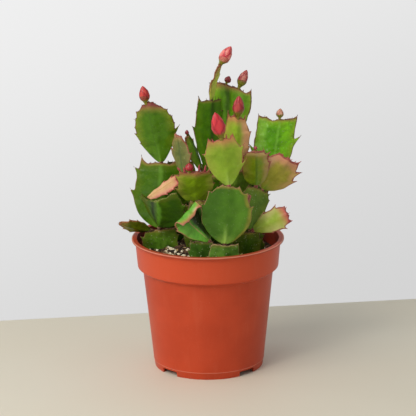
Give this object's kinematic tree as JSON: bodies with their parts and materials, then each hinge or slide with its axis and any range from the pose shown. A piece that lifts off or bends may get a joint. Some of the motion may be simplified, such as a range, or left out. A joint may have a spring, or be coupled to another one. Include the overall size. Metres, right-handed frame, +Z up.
{
  "type": "potted christmas cactus",
  "caption": "Christmas cactus of flat notched stem segments with closed pink flower buds, growing in potting mix in a round plastic pot with a tall collar.",
  "frame": {"origin": "on the surface that the pot stands on, under the pot's axis", "axes": "+Z up along the pot's axis, -Y towards the viewer of the picture, +X to the right"},
  "size_m": [0.125, 0.105, 0.2221],
  "materials": {
    "pot_plastic": "smooth moulded, semi-gloss",
    "potting_mix": "loose matt crumbs with pale grains",
    "stem_skin": "waxy satin skin with darker margins",
    "bud_skin": "satin closed petals"
  },
  "bodies": {
    "root": {"pot": "pot_plastic", "potting_mix": "potting_mix", "left_root": "stem_skin", "left_tall": "stem_skin", "left_top": "stem_skin", "left_keel": "stem_skin", "left_blush": "stem_skin", "left_side": "stem_skin", "centre_root": "stem_skin", "centre_round": "stem_skin", "centre_mid": "stem_skin", "centre_pale": "stem_skin", "centre_blade": "stem_skin", "front_root_left": "stem_skin", "front_root_right": "stem_skin", "front_broad": "stem_skin", "front_upper": "stem_skin", "front_bent": "stem_skin", "front_dark": "stem_skin", "middle_root": "stem_skin", "middle_ridge": "stem_skin", "middle_tall": "stem_skin", "middle_stalk": "stem_skin", "inner_root": "stem_skin", "inner_dark": "stem_skin", "inner_upper": "stem_skin", "inner_low": "stem_skin", "inner_broad": "stem_skin", "right_root": "stem_skin", "right_outer_root": "stem_skin", "right_dark": "stem_skin", "right_front": "stem_skin", "right_side": "stem_skin", "right_top": "stem_skin", "right_low": "stem_skin", "right_edge": "stem_skin", "back_left_root": "stem_skin", "back_left_low": "stem_skin", "back_left_side": "stem_skin", "back_root": "stem_skin", "back_low": "stem_skin", "back_upper": "stem_skin", "back_tilt": "stem_skin", "back_right_root": "stem_skin", "back_right_low": "stem_skin", "back_right_upper": "stem_skin", "left_bud": "bud_skin", "blush_bud": "bud_skin", "round_bud": "bud_skin", "blade_bud": "bud_skin", "front_bud": "bud_skin", "inner_bud": "bud_skin", "top_bud": "bud_skin", "broad_bud": "bud_skin", "broad_small_bud": "bud_skin", "pale_bud": "bud_skin", "right_bud": "bud_skin", "back_bud": "bud_skin"}
  },
  "joints": []
}
